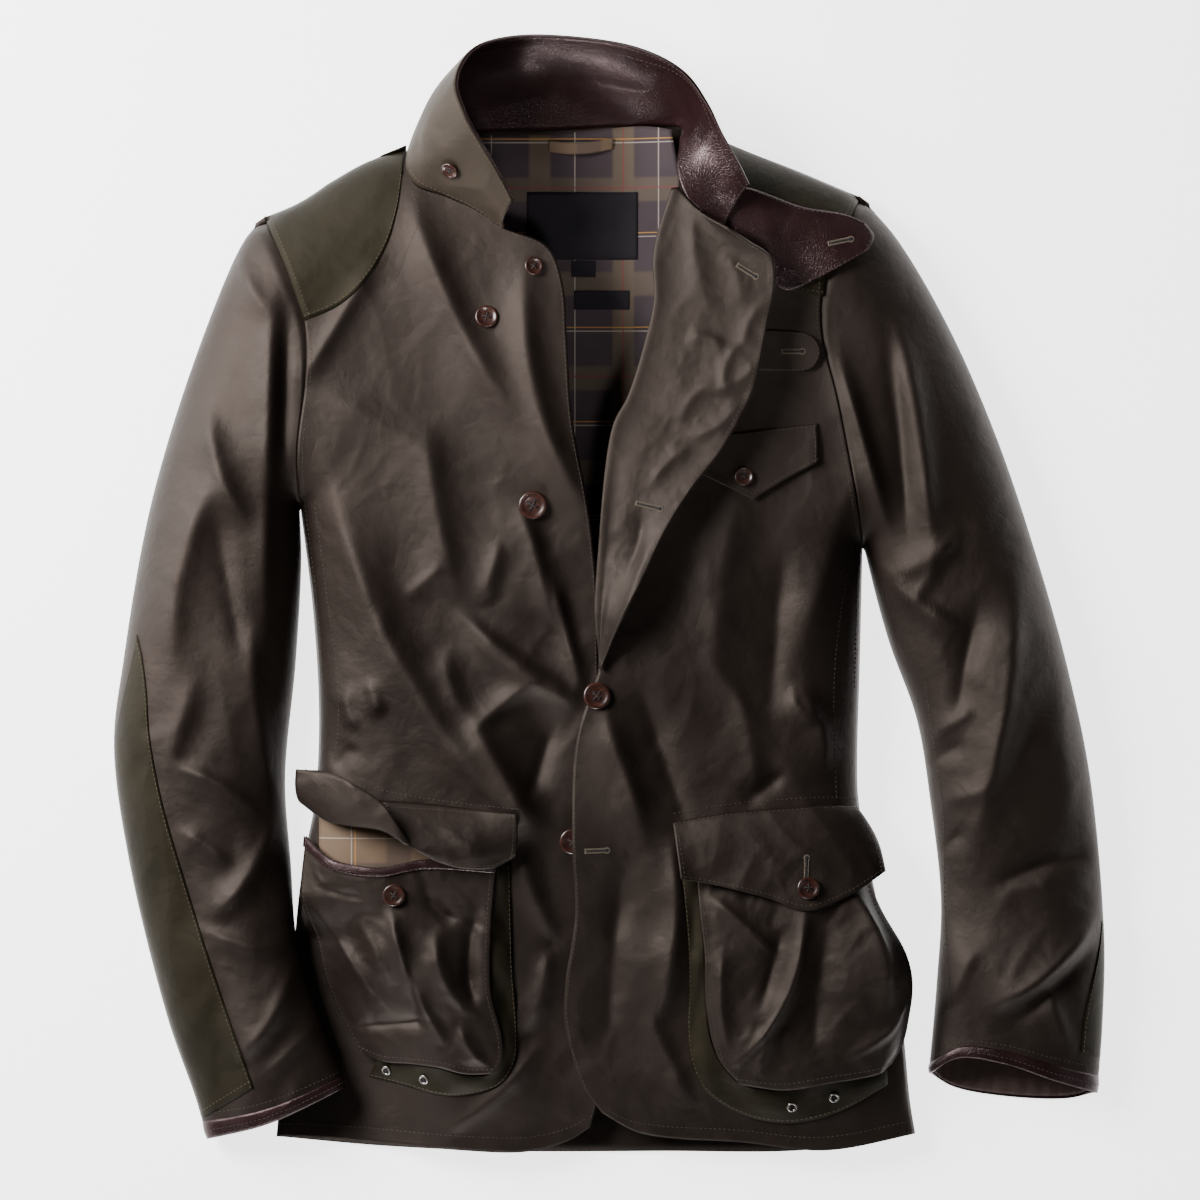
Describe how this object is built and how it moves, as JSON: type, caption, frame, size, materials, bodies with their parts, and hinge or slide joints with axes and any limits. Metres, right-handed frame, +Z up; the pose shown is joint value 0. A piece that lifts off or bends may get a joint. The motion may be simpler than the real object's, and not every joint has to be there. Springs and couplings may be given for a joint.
{
  "type": "waxed cotton jacket",
  "caption": "Waxed cotton field jacket laid flat on its back, collar standing, front mostly unbuttoned, with bellows hip pockets, leather-bound cuffs and olive patches.",
  "frame": {"origin": "a point on the underside of the back, near the middle of the laid-out jacket, on the surface it lies on", "axes": "+Y towards the collar, +Z up off the surface, +X towards the wearer's left arm"},
  "size_m": [0.7371, 0.8244, 0.0961],
  "materials": {
    "waxed_cotton": "waxed, dark brown, soft sheen",
    "olive_cotton": "dry waxed, olive khaki",
    "leather_trim": "smooth dark brown, satin",
    "check_lining": "woven check, matt",
    "label_cloth": "woven satin",
    "horn_button": "polished dark horn",
    "eyelet_metal": "antique silver"
  },
  "bodies": {
    "root": {"back": "waxed_cotton", "front_right": "waxed_cotton", "front_left": "waxed_cotton", "sleeve_right": "waxed_cotton", "sleeve_left": "waxed_cotton", "lapel_left": "waxed_cotton", "storm_tab": "waxed_cotton", "chest_flap_left": "waxed_cotton", "pocket_right": "waxed_cotton", "pocket_flap_right": "waxed_cotton", "pocket_left": "waxed_cotton", "pocket_flap_left": "waxed_cotton", "shoulder_patch_right": "olive_cotton", "shoulder_patch_left": "olive_cotton", "elbow_patch_right": "olive_cotton", "elbow_patch_left": "olive_cotton", "collar_outer": "olive_cotton", "pocket_gusset_right": "olive_cotton", "pocket_gusset_left": "olive_cotton", "cuff_binding_right": "leather_trim", "cuff_binding_left": "leather_trim", "collar_leather": "leather_trim", "throat_tab": "leather_trim", "pocket_binding_right": "leather_trim", "cuff_lining_left": "check_lining", "pocket_lining_right": "check_lining", "lining_back": "check_lining", "hanger_loop": "check_lining", "neck_label": "label_cloth", "size_tab": "label_cloth", "care_label": "label_cloth", "button_front_top": "horn_button", "button_front_chest": "horn_button", "button_front_large": "horn_button", "button_front_closed": "horn_button", "button_front_low": "horn_button", "button_pocket_right": "horn_button", "button_pocket_left": "horn_button", "button_chest_pocket": "horn_button", "button_collar": "horn_button", "eyelet_right_1": "eyelet_metal", "eyelet_right_2": "eyelet_metal", "eyelet_left_1": "eyelet_metal", "eyelet_left_2": "eyelet_metal"}
  },
  "joints": []
}
